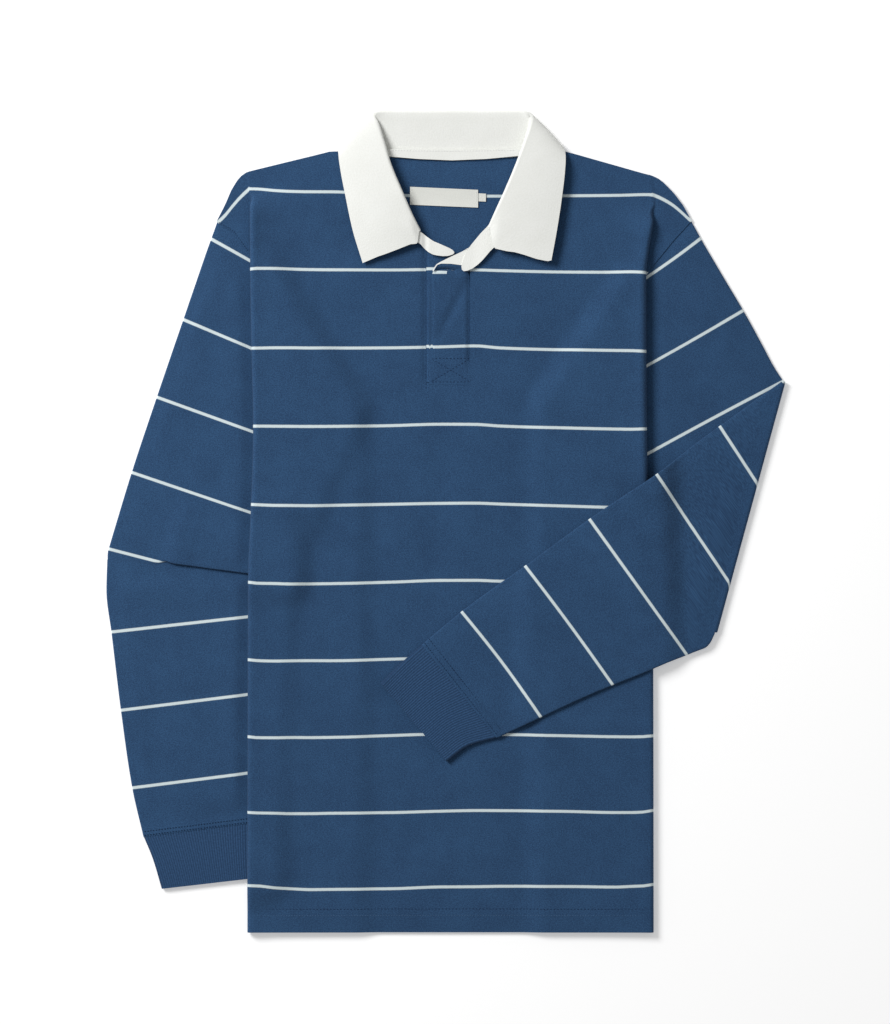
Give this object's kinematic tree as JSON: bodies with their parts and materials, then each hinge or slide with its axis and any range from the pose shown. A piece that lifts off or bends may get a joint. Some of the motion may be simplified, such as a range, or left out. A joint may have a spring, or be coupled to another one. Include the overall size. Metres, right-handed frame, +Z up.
{
  "type": "rugby shirt",
  "caption": "Long-sleeved striped rugby shirt laid flat, with a white collar, a concealed front opening, ribbed cuffs and one sleeve folded across the front.",
  "frame": {"origin": "centre of the shirt's outline seen from above, on the surface that it lies on", "axes": "+X towards the wearer's left sleeve, +Y from the hem to the collar, +Z up from the surface"},
  "size_m": [0.6216, 0.7518, 0.0146],
  "materials": {
    "jersey": "matt heavy cotton jersey, blue with narrow pale stripes",
    "rib": "matt ribbed knit",
    "twill": "matt cotton twill",
    "label": "smooth woven tape"
  },
  "bodies": {
    "root": {"front": "jersey", "back": "jersey", "sleeve_right": "jersey", "sleeve_left": "jersey", "cuff_right": "rib", "cuff_left": "rib", "placket_under": "jersey", "placket_over": "jersey", "neck_facing": "twill", "collar": "twill", "collar_tab_right": "twill", "collar_tab_left": "twill", "neck_tape": "twill", "label": "label", "size_tab": "label"}
  },
  "joints": []
}
